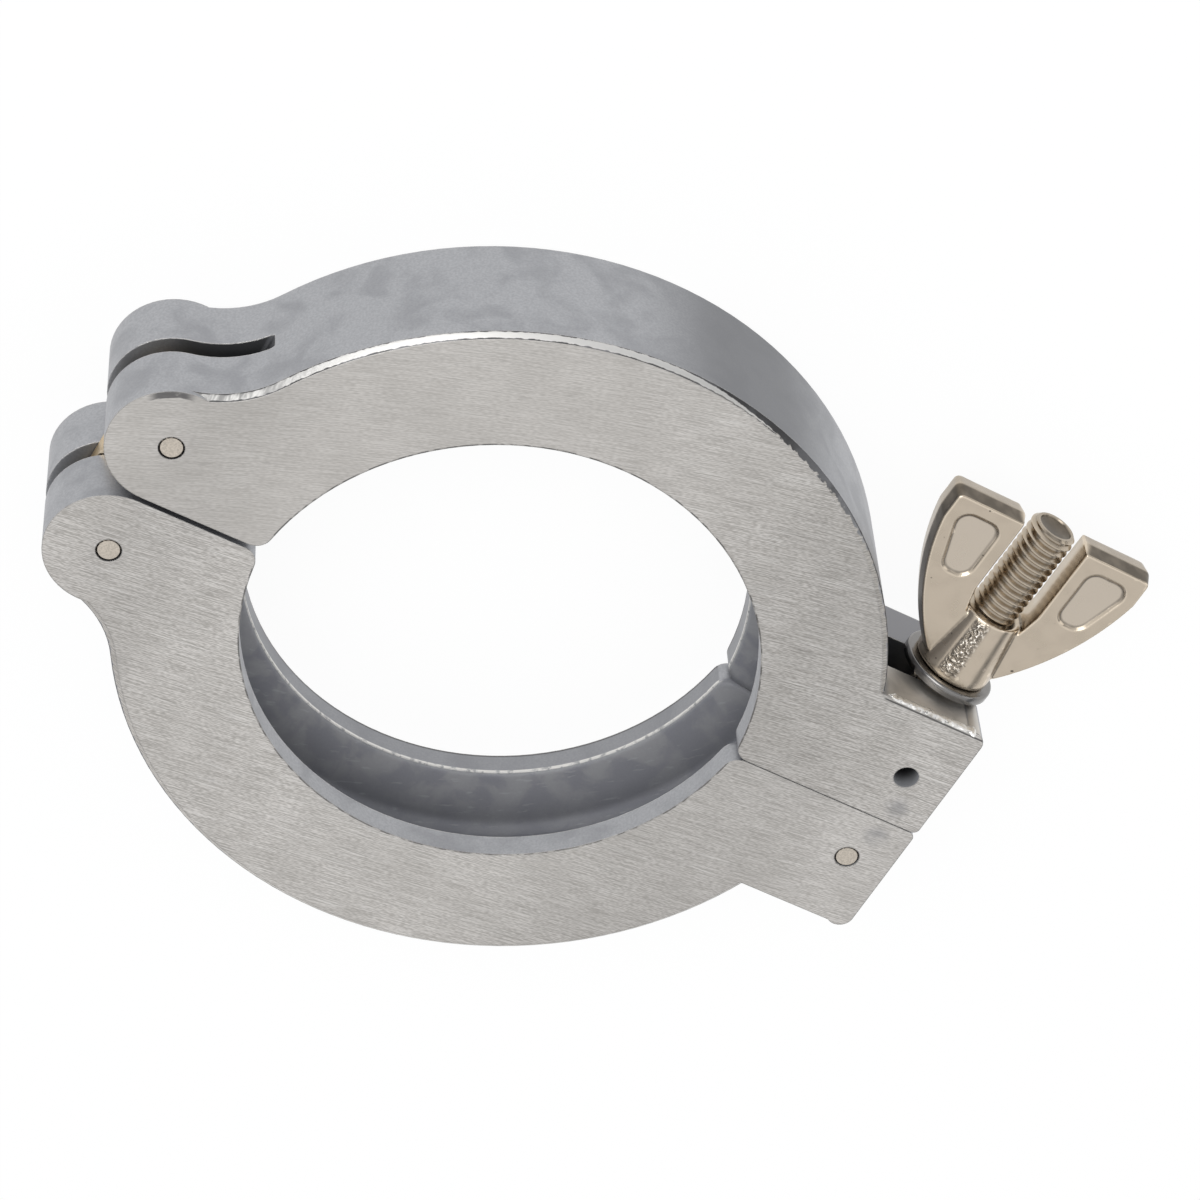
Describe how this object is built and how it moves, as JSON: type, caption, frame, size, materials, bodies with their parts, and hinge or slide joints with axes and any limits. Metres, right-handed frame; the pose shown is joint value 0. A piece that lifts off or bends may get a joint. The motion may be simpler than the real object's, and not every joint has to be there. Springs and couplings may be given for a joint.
{
  "type": "vacuum flange clamp",
  "caption": "Hinged ring clamp with an inner V groove that draws a pair of small vacuum flanges together, closed by a swing bolt and a wing nut.",
  "frame": {"origin": "on the axis of the flange groove, in the parting plane of the closed halves, at mid-thickness", "axes": "+Z along the groove's axis towards the face seen in the picture, +X from the hinge to the closing bolt, +Y across the parting plane towards the half that the nut bears on"},
  "size_m": [0.1185, 0.0864, 0.0192],
  "materials": {
    "cast_aluminium": "die-cast, faces ground",
    "zinc_plated_steel": "yellow zinc plated",
    "steel_pin": "bright drawn",
    "nickel_plated_steel": "nickel plated"
  },
  "bodies": {
    "lower_half": {"lower_half": "cast_aluminium", "lower_hinge_pin": "steel_pin", "bolt_pin": "steel_pin"},
    "link": {"hinge_link": "zinc_plated_steel"},
    "upper_half": {"upper_half": "cast_aluminium", "upper_hinge_pin": "steel_pin"},
    "bolt": {"swing_bolt": "nickel_plated_steel"},
    "washer": {"flat_washer": "nickel_plated_steel"},
    "nut": {"wing_nut": "nickel_plated_steel"}
  },
  "joints": [
    {"name": "bolt_swing", "type": "hinge", "parent": "lower_half", "child": "bolt", "pos_m": [0.0506, -0.0067, 0], "axis": [0, 0, 1], "range_deg": [-180, 0]},
    {"name": "washer_slide", "type": "slide", "parent": "bolt", "child": "washer", "axis": [0.0175, 0.9998, 0], "range_m": [0, 0.013]},
    {"name": "nut_spin", "type": "hinge", "parent": "washer", "child": "nut", "pos_m": [0.05103, 0.01775, 0], "axis": [0.0175, 0.9998, 0], "range_deg": [0, 4680]},
    {"name": "link_pivot", "type": "hinge", "parent": "lower_half", "child": "link", "pos_m": [-0.0461, -0.0078, 0], "axis": [0, 0, 1], "range_deg": [0, 3.5]},
    {"name": "half_pivot", "type": "hinge", "parent": "link", "child": "upper_half", "pos_m": [-0.0461, 0.0078, 0], "axis": [0, 0, 1], "range_deg": [0, 3.5]}
  ],
  "couplings": [
    {"joint": "washer_slide", "follows": "nut_spin", "m_per_rad": 0.00015915},
    {"joint": "link_pivot", "follows": "nut_spin", "ratio": 0.00074786},
    {"joint": "half_pivot", "follows": "nut_spin", "ratio": 0.00074786}
  ]
}
